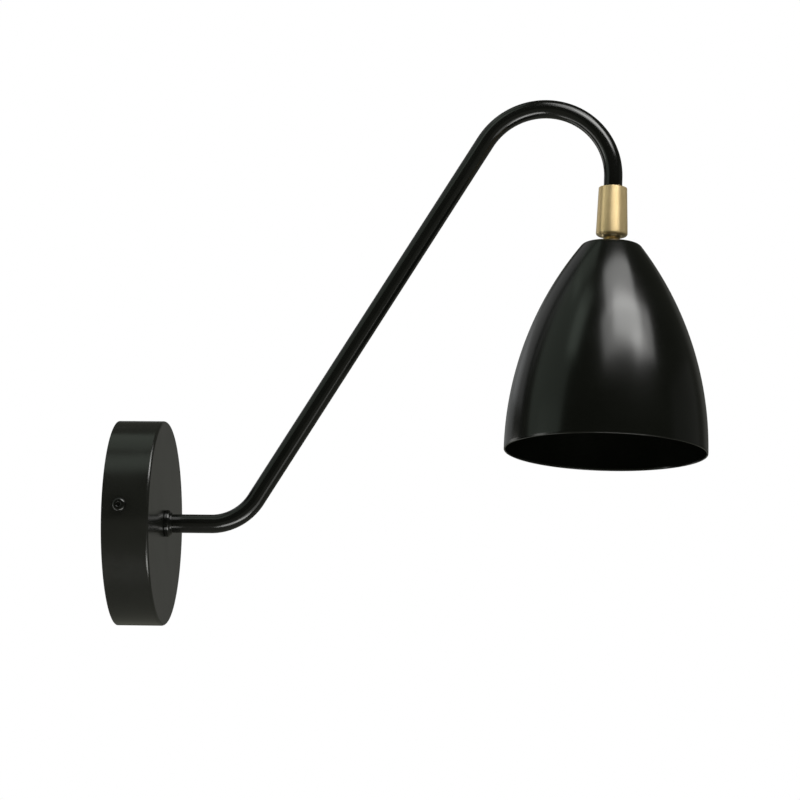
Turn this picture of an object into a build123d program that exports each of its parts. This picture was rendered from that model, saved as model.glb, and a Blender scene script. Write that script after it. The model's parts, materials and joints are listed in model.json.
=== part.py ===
from build123d import *
import os
from math import asin, cos, degrees, pi, radians, sin, sqrt, tan

# Wall sconce: a round canopy on the wall, one bent tube, a brass swivel sleeve and a bell shade.
# Millimetres. The wall is the plane X = 0, the room is on +X, and Z is up.
# The origin is the middle of the wall bracket's back. The arm lies in the XZ plane.

# Canopy
canopy_diameter = 110.0
canopy_depth = 25.4
canopy_wall = 1.0
canopy_edge_radius = 1.5

# Wall bracket
strap_thickness = 1.5
strap_width = 22.0
strap_length = 90.0
ear_width = 12.0
ear_height = 14.0
ear_bend_radius = 2.0
ear_gap = 0.3
slot_width = 4.5
slot_length = 10.0
slot_spacing = 60.0
supply_hole_diameter = 14.0
earth_screw_offset = 16.0
tongue_width = 26.0
tongue_length = 27.0

# Screws, shared
thread_clearance = 0.05
m4_diameter = 4.0
m3_diameter = 3.0
side_screw_from_wall = 9.6
side_screw_length = 8.0
side_screw_head_diameter = 7.6
side_screw_head_height = 2.2
side_screw_dome_radius = 1.7
hex_key_size = 2.5
hex_key_depth = 1.2
pan_head_diameter = 7.0
pan_head_height = 2.4
driver_slot_width = 0.8
driver_slot_depth = 0.9

# Terminal block on the bracket's tongue
terminal_pitch = 9.0
terminal_block_height = 17.0
terminal_block_side_wall = 4.5
terminal_base_depth = 8.0
terminal_tower_diameter = 6.6
terminal_tower_height = 4.0
terminal_tower_offset = 4.3
terminal_block_gap = 4.0
insert_diameter = 5.0
insert_bore = 3.2
insert_end_gap = 1.0
insert_clearance = 0.05
terminal_screw_diameter = 2.6
terminal_screw_length = 5.0
fixing_head_diameter = 5.0
fixing_head_height = 1.8

# Arm tube
tube_diameter = 10.0
tube_wall = 1.0
arm_first_run = 24.8
arm_first_bend = 27.9
arm_rise_angle = 59.1
arm_long_run = 230.3
arm_second_bend = 37.6
arm_last_run = 5.9
arm_tail = 9.0
tube_fit_clearance = 0.05

# Collar and fixings at the arm's root
collar_diameter = 14.5
collar_thickness = 3.1
collar_round = 1.2
collar_step_diameter = 11.6
collar_step = 0.9
arm_hole_clearance = 0.2
tooth_washer_diameter = 17.0
tooth_washer_thickness = 0.8
tooth_count = 12
tooth_depth = 1.5
tooth_gap_width = 1.0
lock_nut_across_flats = 14.0
lock_nut_thickness = 3.0
earth_tag_thickness = 0.6
earth_tag_width = 7.6
earth_barrel_diameter = 3.2
earth_barrel_length = 5.0
bush_flange_diameter = 11.4
bush_flange_thickness = 1.2
bush_length = 5.0
bush_clearance = 0.1

# Wiring
lead_diameter = 4.8
core_diameter = 2.0
conductor_diameter = 0.9
core_offset = 1.15
lead_clearance = 0.15
lead_tail = 4.0
head_lead_tail = 1.0
head_lead_inset = 1.0
ball_lead_gap = 0.3
bare_length = 7.0
wire_bend_share = 0.45

# Swivel sleeve and what it holds
sleeve_length = 26.7
sleeve_top_diameter = 15.3
sleeve_bottom_diameter = 17.2
sleeve_top_edge = 0.6
sleeve_bottom_round = 1.4
tube_thread_depth = 8.0
ball_diameter = 13.2
ball_clearance = 0.1
ball_drop = 3.5
ball_seat_height = 5.2
ball_seat_start = 2.8
ball_seat_bore = 7.0
cone_washer_thickness = 0.7
cone_washer_count = 2
cone_washer_bore = 8.0
swivel_face_gap = 0.1
plug_recess = 0.3
plug_bore = 8.0

# Ball stem
neck_diameter = 7.2
stem_bore = 5.2
stem_collar_diameter = 10.4
stem_collar_thickness = 1.6
stem_thread_diameter = 8.0
shade_gap = 4.5
stem_thread_length = 14.0

# Shade
shade_mouth_diameter = 109.4
shade_height = 113.9
shade_top_diameter = 30.4
shade_shoulder_radius = 4.0
shade_wall = 0.9
shade_rim_round = 0.35
shade_hole_clearance = 0.15
shade_washer_margin = 6.2
shade_washer_thickness = 1.2
shade_nut_across_flats = 13.0
shade_nut_thickness = 4.0

# Lampholder
holder_diameter = 28.0
holder_wall = 1.6
holder_boss_diameter = 14.0
holder_boss_height = 5.0
holder_dome_height = 6.0
holder_skirt_length = 10.0
holder_body_length = 28.0
holder_joint_overlap = 4.0
holder_joint_clearance = 0.1
holder_core_thickness = 7.0
holder_contact_depth = 3.4
socket_diameter = 14.0
socket_wall = 0.6
socket_length = 19.5
socket_clearance = 0.1
contact_width = 3.5
contact_thickness = 0.5
contact_reach = 3.0
contact_root_radius = 5.0
holder_terminal_length = 6.0
holder_terminal_width = 4.4
holder_terminal_height = 5.0
holder_terminal_offset = 7.0
holder_terminal_gap = 0.1
holder_wire_offset = 1.5
holder_bare_length = 3.0
holder_screw_diameter = 2.5
holder_screw_length = 4.0
grub_screw_diameter = 3.0
grub_screw_length = 3.0

# Worked out from the sizes above
canopy_radius = canopy_diameter / 2
canopy_inner_radius = canopy_radius - canopy_wall
canopy_inner_face = canopy_depth - canopy_wall
ear_outer_y = sqrt((canopy_inner_radius - ear_gap) ** 2 - (ear_width / 2) ** 2)
tube_radius = tube_diameter / 2
tube_bore_radius = tube_radius - tube_wall
rise = radians(arm_rise_angle)
lead_radius = lead_diameter / 2
core_radius = core_diameter / 2

long_run_start_x = canopy_depth + arm_first_run + arm_first_bend * sin(rise)
long_run_start_z = arm_first_bend * (1 - cos(rise))
long_run_end_x = long_run_start_x + arm_long_run * cos(rise)
long_run_end_z = long_run_start_z + arm_long_run * sin(rise)
head_x = long_run_end_x + arm_second_bend * (1 + sin(rise))
hook_end_z = long_run_end_z - arm_second_bend * cos(rise)
sleeve_top_z = hook_end_z - arm_last_run
sleeve_bottom_z = sleeve_top_z - sleeve_length
ball_z = sleeve_bottom_z + ball_drop

# Heights measured from the ball's centre
sleeve_bottom = -ball_drop
sleeve_top = sleeve_length - ball_drop
tube_end = sleeve_top - tube_thread_depth
ball_radius = ball_diameter / 2
seat_radius = ball_radius + ball_clearance
seat_top = ball_seat_start + ball_seat_height
washers_top = seat_top + cone_washer_count * cone_washer_thickness
plug_bottom = washers_top + swivel_face_gap
shade_top = sleeve_bottom - shade_gap
stem_collar_top = shade_top + stem_collar_thickness
shade_washer_top = shade_top - shade_wall
shade_washer_diameter = shade_top_diameter - 2 * shade_washer_margin
shade_taper = (shade_mouth_diameter - shade_top_diameter) / 2
shade_curve_radius = (shade_height**2 + shade_taper**2) / (2 * shade_taper)
shade_nut_top = shade_washer_top - shade_washer_thickness
holder_top = shade_nut_top - shade_nut_thickness
dome_top = holder_top - holder_boss_height
skirt_top = dome_top - holder_dome_height
skirt_bottom = skirt_top - holder_skirt_length
holder_mouth = skirt_bottom - holder_body_length
core_top = skirt_bottom + holder_joint_overlap
core_bottom = core_top - holder_core_thickness
socket_seat = core_bottom - holder_contact_depth
stem_bottom = shade_top - stem_thread_length
head_lead_bottom = stem_bottom - head_lead_tail

upright = (Align.CENTER, Align.CENTER, Align.MIN)
on_wall = (Align.MIN, Align.CENTER, Align.CENTER)
on_wall_upward = (Align.MIN, Align.CENTER, Align.MIN)


def rod(radius, length, bore_radius=0.0):
    """A round bar that stands on its base, with a hole through it if a bore is given."""
    bar = Cylinder(radius, length, align=upright)
    if bore_radius > 0:
        bar -= Cylinder(bore_radius, length, align=upright)
    return bar


def turned(outline):
    """A closed outline of (radius, height) corners turned about Z."""
    corners = [(radius, 0, height) for radius, height in outline]
    return revolve(make_face(Polyline(*corners, close=True)), Axis.Z)


def hex_nut(across_flats, thickness, bore_radius):
    hexagon = RegularPolygon(across_flats / 2, 6, major_radius=False)
    blank = extrude(hexagon, thickness)
    return blank - rod(bore_radius, thickness)


def group(*shapes):
    """Separate solids kept together as one node."""
    return Compound([solid for shape in shapes for solid in shape.solids()])


def from_wall(distance):
    """A place on the arm's root axis: local Z points into the room."""
    return Pos(distance, 0, 0) * Rot(0, 90, 0)


def from_ball(height):
    """A place on the head's axis, at a height from the ball's centre."""
    return Pos(head_x, 0, ball_z + height)


def bend_radii(points):
    """The widest bend at each corner that its two runs leave room for."""
    radii = []
    for before, corner, after in zip(points, points[1:], points[2:]):
        run_in = Vector(*corner) - Vector(*before)
        run_out = Vector(*after) - Vector(*corner)
        half_turn = radians(run_in.get_angle(run_out)) / 2
        radii.append(wire_bend_share * min(run_in.length, run_out.length) / tan(half_turn))
    return radii


def swept_rod(radius, path):
    section = Plane(origin=path @ 0, z_dir=path % 0) * Circle(radius)
    return sweep(section, path=path)


def wire(points):
    """An insulated core along hand-placed points, with the widest bends they allow."""
    return swept_rod(core_radius, FilletPolyline(*points, radius=bend_radii(points)))


def driver_slot(head_diameter, head_top):
    depth = driver_slot_depth
    return Pos(0, 0, head_top - depth / 2) * Box(head_diameter, driver_slot_width, depth)


# --- Canopy and what fixes it to the wall ---


def make_canopy():
    outer = from_wall(0) * rod(canopy_radius, canopy_depth)
    outer = fillet(outer.edges().group_by(Axis.X)[-1], canopy_edge_radius)
    inner = from_wall(0) * rod(canopy_inner_radius, canopy_inner_face)
    inner = fillet(inner.edges().group_by(Axis.X)[-1], canopy_edge_radius - canopy_wall / 2)
    arm_hole = from_wall(0) * rod(tube_radius + arm_hole_clearance, canopy_depth)
    hole_radius = m4_diameter / 2 + arm_hole_clearance
    side_holes = Rot(90, 0, 0) * Cylinder(hole_radius, 2 * canopy_diameter)
    return outer - inner - arm_hole - Pos(side_screw_from_wall, 0, 0) * side_holes


def make_bracket():
    strap = Box(strap_thickness, strap_length, strap_width, align=on_wall)
    tongue_reach = strap_width / 2 + tongue_length
    tongue = Box(strap_thickness, tongue_width, tongue_reach, align=on_wall_upward)
    plate = strap + tongue
    plate = fillet(plate.edges().filter_by(Axis.X), ear_bend_radius)
    middle = strap_thickness / 2
    for side in (1, -1):
        ear_y = side * (ear_outer_y - middle)
        ear_root = (middle, side * (strap_length / 2 - ear_width), 0)
        path = FilletPolyline(ear_root, (middle, ear_y, 0), (ear_height, ear_y, 0), radius=ear_bend_radius)
        section_plane = Plane(origin=path @ 0, x_dir=(0, 0, 1), z_dir=path % 0)
        plate += sweep(section_plane * Rectangle(ear_width, strap_thickness), path=path)
    cut_depth = 2 * strap_thickness
    slot = extrude(SlotOverall(slot_length, slot_width), cut_depth, both=True)
    for side in (1, -1):
        plate -= Pos(0, side * slot_spacing / 2, 0) * Rot(0, 90, 0) * Rot(0, 0, 90) * slot
    plate -= from_wall(0) * rod(supply_hole_diameter / 2, cut_depth)
    screw_radius = m4_diameter / 2 + thread_clearance
    plate -= Pos(0, -earth_screw_offset, 0) * from_wall(0) * rod(screw_radius, cut_depth)
    plate -= Pos(side_screw_from_wall, 0, 0) * Rot(90, 0, 0) * Cylinder(screw_radius, canopy_diameter)
    fixing_hole = Cylinder(m3_diameter / 2 + thread_clearance, 2 * cut_depth)
    plate -= Pos(0, 0, terminal_middle_z) * Rot(0, 90, 0) * fixing_hole
    return plate


def make_canopy_screw(side):
    head = rod(side_screw_head_diameter / 2, side_screw_head_height)
    head = fillet(head.edges().group_by(Axis.Z)[-1], side_screw_dome_radius)
    socket = extrude(RegularPolygon(hex_key_size / 2, 6, major_radius=False), hex_key_depth)
    head -= Pos(0, 0, side_screw_head_height - hex_key_depth) * socket
    shank = Pos(0, 0, -side_screw_length) * rod(m4_diameter / 2, side_screw_length)
    place = Pos(side_screw_from_wall, side * canopy_radius, 0) * Rot(-90 * side, 0, 0)
    return place * (head + shank)


def make_earth_screw():
    washers = strap_thickness + earth_tag_thickness
    head = rod(pan_head_diameter / 2, pan_head_height)
    head = fillet(head.edges().group_by(Axis.Z)[-1], pan_head_height / 2)
    head -= driver_slot(pan_head_diameter, pan_head_height)
    reach = strap_thickness + earth_tag_thickness
    shank = Pos(0, 0, -reach) * rod(m4_diameter / 2, reach)
    return Pos(washers, -earth_screw_offset, 0) * Rot(0, 90, 0) * (head + shank)


# --- Terminal block ---

terminal_middle_z = strap_width / 2 + terminal_block_gap + terminal_block_height / 2
terminal_block_width = terminal_pitch + 2 * terminal_block_side_wall
insert_x = strap_thickness + terminal_base_depth / 2
terminal_ways = (-terminal_pitch / 2, terminal_pitch / 2)
insert_length = terminal_block_height - 2 * insert_end_gap


def make_terminal_block():
    base = Box(terminal_base_depth, terminal_block_width, terminal_block_height, align=on_wall)
    base = fillet(base.edges().filter_by(Axis.X), 1)
    bore = Cylinder(insert_diameter / 2 + insert_clearance, insert_length)
    mouth = Cylinder(insert_bore / 2, terminal_block_height)
    tower = Rot(0, 90, 0) * rod(terminal_tower_diameter / 2, terminal_tower_height)
    tower = Pos(terminal_base_depth, 0, 0) * tower
    access_depth = terminal_tower_height + terminal_base_depth / 2
    access = rod(terminal_screw_diameter / 2 + insert_clearance, access_depth)
    access = Pos(terminal_base_depth / 2, 0, 0) * Rot(0, 90, 0) * access
    block = base
    for way in terminal_ways:
        for end in (-terminal_tower_offset, terminal_tower_offset):
            block += Pos(0, way, end) * tower
    for way in terminal_ways:
        for end in (-terminal_tower_offset, terminal_tower_offset):
            block -= Pos(0, way, end) * access
        block -= Pos(terminal_base_depth / 2, way, 0) * (bore + mouth)
    block -= Rot(0, 90, 0) * rod(m3_diameter / 2 + insert_clearance, terminal_base_depth)
    return Pos(strap_thickness, 0, terminal_middle_z) * block


def make_terminal_inserts():
    tube = Cylinder(insert_diameter / 2, insert_length) - Cylinder(insert_bore / 2, insert_length)
    screw_hole = Rot(0, 90, 0) * rod(terminal_screw_diameter / 2 + thread_clearance, insert_diameter)
    for end in (-terminal_tower_offset, terminal_tower_offset):
        tube -= Pos(0, 0, end) * screw_hole
    return group(*[Pos(insert_x, way, terminal_middle_z) * tube for way in terminal_ways])


def make_terminal_screws():
    screw = rod(terminal_screw_diameter / 2, terminal_screw_length)
    screw -= driver_slot(terminal_screw_diameter, terminal_screw_length)
    start = conductor_diameter / 2
    screws = []
    for way in terminal_ways:
        for end in (-terminal_tower_offset, terminal_tower_offset):
            place = Pos(insert_x + start, way, terminal_middle_z + end)
            screws.append(place * Rot(0, 90, 0) * screw)
    return group(*screws)


def make_fixing_screw():
    head_seat = strap_thickness + terminal_base_depth
    head = rod(fixing_head_diameter / 2, fixing_head_height)
    head = fillet(head.edges().group_by(Axis.Z)[-1], fixing_head_height / 2)
    head -= driver_slot(fixing_head_diameter, fixing_head_height)
    shank = Pos(0, 0, -head_seat) * rod(m3_diameter / 2, head_seat)
    return Pos(head_seat, 0, terminal_middle_z) * Rot(0, 90, 0) * (head + shank)


# --- Arm ---


def arm_centreline(start_x, end_z):
    """The tube's centreline: out of the wall, up the long slope, over the hook and down."""
    first_corner_x = canopy_depth + arm_first_run + arm_first_bend * tan(rise / 2)
    second_turn = rise + radians(90)
    second_corner_z = hook_end_z + arm_second_bend * tan(second_turn / 2)
    corners = [(start_x, 0), (first_corner_x, 0), (head_x, second_corner_z), (head_x, end_z)]
    return Plane.XZ * FilletPolyline(*corners, radius=[arm_first_bend, arm_second_bend])


def make_arm_tube():
    path = arm_centreline(canopy_depth - arm_tail, ball_z + tube_end)
    tube = swept_rod(tube_radius, path) - swept_rod(tube_bore_radius, path)
    print("arm tube: length %.1f, volume %.0f against section times length %.0f" % (
        path.length, tube.volume, path.length * (tube_radius**2 - tube_bore_radius**2) * pi))
    return tube


def make_arm_collar():
    bead = rod(collar_diameter / 2, collar_thickness)
    bead = fillet(bead.edges(), collar_round)
    step_base = collar_thickness - collar_round / 2
    step = Pos(0, 0, step_base) * rod(collar_step_diameter / 2, collar_step + collar_round / 2)
    bore = rod(tube_radius + tube_fit_clearance, 2 * collar_thickness)
    return from_wall(canopy_depth) * (bead + step - bore)


def make_tooth_washer():
    ring = rod(tooth_washer_diameter / 2, tooth_washer_thickness, tube_radius + arm_hole_clearance)
    tooth_gap = Box(tooth_depth * 2, tooth_gap_width, tooth_washer_thickness, align=upright)
    for tooth in range(tooth_count):
        ring -= Rot(0, 0, 360 / tooth_count * tooth) * Pos(tooth_washer_diameter / 2, 0, 0) * tooth_gap
    return from_wall(canopy_inner_face - tooth_washer_thickness) * ring


arm_tag_x = canopy_inner_face - tooth_washer_thickness - earth_tag_thickness
lock_nut_x = arm_tag_x - lock_nut_thickness


def make_earth_tag(hole_radius, ring_radius):
    """A flat ring tag with a crimped barrel that points along -X, lying on Z = 0."""
    thickness = earth_tag_thickness
    neck_end = ring_radius + earth_barrel_length
    ring = rod(ring_radius, thickness)
    neck = Box(neck_end, earth_barrel_diameter, thickness, align=(Align.MAX, Align.CENTER, Align.MIN))
    barrel_radius = earth_barrel_diameter / 2
    barrel = Pos(-neck_end, 0, barrel_radius) * Rot(0, 90, 0) * rod(barrel_radius, earth_barrel_length)
    bore = Pos(-neck_end, 0, barrel_radius) * Rot(0, 90, 0) * rod(core_radius, earth_barrel_length / 2)
    return ring + neck + barrel - rod(hole_radius, thickness) - bore


def make_earth_tags():
    bracket_tag = make_earth_tag(m4_diameter / 2 + thread_clearance, earth_tag_width / 2)
    bracket_place = Pos(strap_thickness, -earth_screw_offset, 0) * Rot(0, 90, 0) * Rot(0, 0, 180)
    arm_tag = make_earth_tag(tube_radius + arm_hole_clearance, tooth_washer_diameter / 2)
    arm_place = Pos(canopy_inner_face - tooth_washer_thickness, 0, 0) * Rot(0, -90, 0)
    return group(bracket_place * bracket_tag, arm_place * arm_tag)


def make_lock_nut():
    nut = hex_nut(lock_nut_across_flats, lock_nut_thickness, tube_radius + tube_fit_clearance)
    return from_wall(lock_nut_x) * nut


def make_cable_bush():
    sleeve = rod(tube_bore_radius - bush_clearance, bush_length)
    flange = Pos(0, 0, -bush_flange_thickness) * rod(bush_flange_diameter / 2, bush_flange_thickness)
    flange = fillet(flange.edges().group_by(Axis.Z)[0], bush_flange_thickness / 2)
    bore = Pos(0, 0, -bush_flange_thickness) * rod(lead_radius + lead_clearance, 2 * bush_length)
    return from_wall(canopy_depth - arm_tail) * (sleeve + flange - bore)


# --- Wiring ---

lead_end_x = canopy_depth - arm_tail - bush_flange_thickness - lead_tail


def make_arm_lead():
    path = arm_centreline(lead_end_x, ball_z + ball_radius + ball_lead_gap)
    return swept_rod(lead_radius, path)


def make_block_wire(side):
    """One core from the lead's end up into its way of the terminal block, with its bare end."""
    way = side * terminal_pitch / 2
    mouth_z = terminal_middle_z - terminal_block_height / 2
    points = [
        (lead_end_x, side * core_offset, 0),
        (lead_end_x - core_diameter, side * core_offset, 0),
        (insert_x, side * (core_offset + core_radius), 0),
        (insert_x, way, mouth_z / 2),
        (insert_x, way, mouth_z),
    ]
    bare_end = Pos(insert_x, way, mouth_z) * rod(conductor_diameter / 2, bare_length)
    return wire(points) + bare_end


def make_earth_wire():
    arm_tag_wire_x = canopy_inner_face - tooth_washer_thickness - earth_barrel_diameter / 2
    arm_tag_end = -(tooth_washer_diameter / 2 + earth_barrel_length)
    bracket_tag_end = -(earth_tag_width / 2 + earth_barrel_length)
    bracket_tag_x = strap_thickness + earth_barrel_diameter / 2
    points = [
        (arm_tag_wire_x, 0, arm_tag_end),
        (arm_tag_wire_x - 1, -1, arm_tag_end - 8),
        (12, -7, arm_tag_end - 14),
        (bracket_tag_x + 1, -14, arm_tag_end - 8),
        (bracket_tag_x, -earth_screw_offset, bracket_tag_end - 5),
        (bracket_tag_x, -earth_screw_offset, bracket_tag_end),
    ]
    return wire(points)


# --- Swivel sleeve ---


def make_sleeve():
    outside = Cone(sleeve_bottom_diameter / 2, sleeve_top_diameter / 2, sleeve_length, align=upright)
    outside = fillet(outside.edges().group_by(Axis.Z)[0], sleeve_bottom_round)
    outside = fillet(outside.edges().group_by(Axis.Z)[-1], sleeve_top_edge)
    outside = Pos(0, 0, sleeve_bottom) * outside
    bore = rod(seat_radius, sleeve_top)
    return from_ball(0) * (outside - bore - Sphere(seat_radius))


def make_sleeve_plug():
    plug_top = sleeve_top - plug_recess
    plug = rod(seat_radius - thread_clearance, plug_top - plug_bottom, plug_bore / 2)
    tube_socket = rod(tube_radius + tube_fit_clearance, sleeve_length)
    tube_socket = Pos(0, 0, tube_end - plug_bottom) * tube_socket
    return from_ball(plug_bottom) * (plug - tube_socket)


def make_ball_seat():
    blank = rod(ball_radius, ball_seat_height, ball_seat_bore / 2)
    return from_ball(ball_seat_start) * blank - from_ball(0) * Sphere(seat_radius)


def make_cone_washers():
    washers = []
    for level in range(cone_washer_count):
        height = seat_top + level * cone_washer_thickness
        washer = rod(ball_radius, cone_washer_thickness, cone_washer_bore / 2)
        washers.append(from_ball(height) * washer)
    return group(*washers)


def make_ball_stem():
    neck = Pos(0, 0, stem_collar_top) * rod(neck_diameter / 2, -stem_collar_top)
    collar = Pos(0, 0, shade_top) * rod(stem_collar_diameter / 2, stem_collar_thickness)
    collar = chamfer(collar.edges().group_by(Axis.Z)[-1], 0.3)
    thread = Pos(0, 0, stem_bottom) * rod(stem_thread_diameter / 2, stem_thread_length)
    bore = Pos(0, 0, stem_bottom) * rod(stem_bore / 2, ball_radius - stem_bottom)
    return from_ball(0) * (Sphere(ball_radius) + neck + collar + thread - bore)


# --- Shade ---


def make_shade():
    """A spun bell: one arc that stands upright at the mouth, a round shoulder and a flat top."""
    centre = (shade_mouth_diameter / 2 - shade_curve_radius, 0)
    inner_curve = shade_curve_radius - shade_wall
    inner_height = shade_height - shade_wall
    hole_radius = stem_thread_diameter / 2 + shade_hole_clearance
    outer_arc = CenterArc(centre, shade_curve_radius, 0, degrees(asin(shade_height / shade_curve_radius)))
    inner_arc = CenterArc(centre, inner_curve, 0, degrees(asin(inner_height / inner_curve)))
    hole_top = (hole_radius, shade_height)
    hole_bottom = (hole_radius, inner_height)
    outline = outer_arc + inner_arc + Line(outer_arc @ 0, inner_arc @ 0)
    outline += Polyline(outer_arc @ 1, hole_top, hole_bottom, inner_arc @ 1)
    wall = make_face(outline)
    wall = fillet(wall.vertices().sort_by_distance(outer_arc @ 1)[0], shade_shoulder_radius)
    wall = fillet(wall.vertices().sort_by_distance(inner_arc @ 1)[0], shade_shoulder_radius - shade_wall)
    wall = fillet(wall.vertices().group_by(Axis.Y)[0], shade_rim_round)
    return from_ball(shade_top - shade_height) * revolve(Plane.XZ * wall, Axis.Z)


def make_shade_washer():
    height = shade_washer_top - shade_washer_thickness
    hole_radius = stem_thread_diameter / 2 + shade_hole_clearance
    return from_ball(height) * rod(shade_washer_diameter / 2, shade_washer_thickness, hole_radius)


def make_shade_nut():
    hole_radius = stem_thread_diameter / 2 + thread_clearance
    return from_ball(holder_top) * hex_nut(shade_nut_across_flats, shade_nut_thickness, hole_radius)


# --- Lampholder ---


def make_holder_cap():
    radius = holder_diameter / 2
    inner = radius - holder_wall
    boss = holder_boss_diameter / 2
    hole = stem_thread_diameter / 2 + thread_clearance
    cap = turned([
        (hole, holder_top), (boss, holder_top), (boss, dome_top), (radius, skirt_top),
        (radius, skirt_bottom), (inner, skirt_bottom), (inner, skirt_top),
        (boss, dome_top - holder_wall), (hole, dome_top - holder_wall),
    ])
    grub_hole = Rot(0, 90, 0) * rod(grub_screw_diameter / 2 + thread_clearance, holder_diameter)
    cap -= Pos(0, 0, grub_screw_height) * grub_hole
    return from_ball(0) * cap


grub_screw_height = holder_top - holder_boss_height / 2


def make_grub_screw():
    screw = rod(grub_screw_diameter / 2, grub_screw_length)
    screw -= driver_slot(grub_screw_diameter, grub_screw_length)
    return from_ball(grub_screw_height) * Pos(stem_thread_diameter / 2, 0, 0) * Rot(0, 90, 0) * screw


def make_holder_body():
    radius = holder_diameter / 2
    neck = radius - holder_wall - holder_joint_clearance
    recess = socket_diameter / 2 + socket_wall + socket_clearance
    contact_well = recess - 1
    body = turned([
        (0, core_top), (neck, core_top), (neck, skirt_bottom), (radius, skirt_bottom),
        (radius, holder_mouth), (recess, holder_mouth), (recess, socket_seat),
        (contact_well, socket_seat), (contact_well, core_bottom), (0, core_bottom),
    ])
    body = fillet(body.edges().group_by(Axis.Z)[0].sort_by(SortBy.LENGTH)[-1], 1)
    pocket = Box(
        holder_terminal_length + holder_terminal_gap, holder_terminal_width + holder_terminal_gap,
        holder_terminal_height, align=(Align.CENTER, Align.CENTER, Align.MAX))
    for side in (1, -1):
        body -= Pos(0, side * holder_terminal_offset, core_top) * pocket
    return from_ball(0) * body


def make_socket_shell():
    radius = socket_diameter / 2
    shell = Pos(0, 0, socket_seat - socket_length) * rod(radius + socket_wall, socket_length, radius)
    return from_ball(0) * shell


def make_centre_contact():
    """A brass tongue fixed at one end, sprung down towards the lamp."""
    middle = contact_thickness / 2
    path = Plane.XZ * Polyline(
        (contact_root_radius, core_bottom - middle), (contact_root_radius / 2, core_bottom - middle),
        (-contact_thickness, core_bottom - contact_reach))
    section_plane = Plane(origin=path @ 0, x_dir=(0, 1, 0), z_dir=path % 0)
    section = section_plane * Rectangle(contact_width, contact_thickness)
    return from_ball(0) * sweep(section, path=path, transition=Transition.RIGHT)


def make_holder_terminals():
    block = Box(holder_terminal_length, holder_terminal_width, holder_terminal_height, align=upright)
    block -= Pos(-holder_wire_offset, 0, 0) * rod(conductor_diameter, holder_terminal_height)
    screw_hole = rod(holder_screw_diameter / 2 + thread_clearance, holder_terminal_height)
    block -= Pos(holder_wire_offset, 0, 0) * screw_hole
    height = core_top - holder_terminal_height
    sides = (holder_terminal_offset, -holder_terminal_offset)
    return group(*[from_ball(height) * Pos(0, side, 0) * block for side in sides])


def make_holder_screws():
    screw = rod(holder_screw_diameter / 2, holder_screw_length)
    screw -= driver_slot(holder_screw_diameter, holder_screw_length)
    height = core_top - holder_screw_length
    sides = (holder_terminal_offset, -holder_terminal_offset)
    return group(*[from_ball(height) * Pos(holder_wire_offset, side, 0) * screw for side in sides])


def make_head_lead():
    lead_top = ball_radius - head_lead_inset
    return from_ball(head_lead_bottom) * rod(lead_radius, lead_top - head_lead_bottom)


def make_holder_wire(side):
    lead_bottom = ball_z + head_lead_bottom
    terminal_top = ball_z + core_top
    points = [
        (head_x, side * core_offset, lead_bottom),
        (head_x, side * core_offset, lead_bottom - core_diameter),
        (head_x - holder_wire_offset, side * holder_terminal_offset, terminal_top + core_diameter),
        (head_x - holder_wire_offset, side * holder_terminal_offset, terminal_top),
    ]
    bare_end = rod(conductor_diameter / 2, holder_bare_length)
    return wire(points) + Pos(0, 0, -holder_bare_length) * Pos(*points[-1]) * bare_end


nodes = {
    "canopy": make_canopy(),
    "wall_bracket": make_bracket(),
    "canopy_screws": group(make_canopy_screw(1), make_canopy_screw(-1)),
    "earth_screw": make_earth_screw(),
    "earth_tags": make_earth_tags(),
    "terminal_block": make_terminal_block(),
    "terminal_inserts": make_terminal_inserts(),
    "terminal_screws": make_terminal_screws(),
    "terminal_fixing_screw": make_fixing_screw(),
    "arm_tube": make_arm_tube(),
    "arm_collar": make_arm_collar(),
    "arm_tooth_washer": make_tooth_washer(),
    "arm_lock_nut": make_lock_nut(),
    "cable_bush": make_cable_bush(),
    "arm_lead": make_arm_lead(),
    "live_wire": make_block_wire(1),
    "neutral_wire": make_block_wire(-1),
    "earth_wire": make_earth_wire(),
    "swivel_sleeve": make_sleeve(),
    "sleeve_plug": make_sleeve_plug(),
    "ball_seat": make_ball_seat(),
    "spring_washers": make_cone_washers(),
    "ball_stem": make_ball_stem(),
    "shade": make_shade(),
    "shade_washer": make_shade_washer(),
    "shade_nut": make_shade_nut(),
    "lampholder_cap": make_holder_cap(),
    "lampholder_grub_screw": make_grub_screw(),
    "lampholder_body": make_holder_body(),
    "socket_shell": make_socket_shell(),
    "centre_contact": make_centre_contact(),
    "lampholder_terminals": make_holder_terminals(),
    "lampholder_terminal_screws": make_holder_screws(),
    "head_lead": make_head_lead(),
    "holder_live_wire": make_holder_wire(1),
    "holder_neutral_wire": make_holder_wire(-1),
}

os.makedirs("parts", exist_ok=True)
for name, shape in nodes.items():
    export_step(shape, f"parts/{name}.step")
print("%d nodes, head axis at x %.2f, ball at z %.2f, mouth at z %.2f" % (
    len(nodes), head_x, ball_z, ball_z + shade_top - shade_height))
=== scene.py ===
import json
import math

import bmesh
import bpy
import numpy as np
from mathutils import Matrix, Vector


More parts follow.
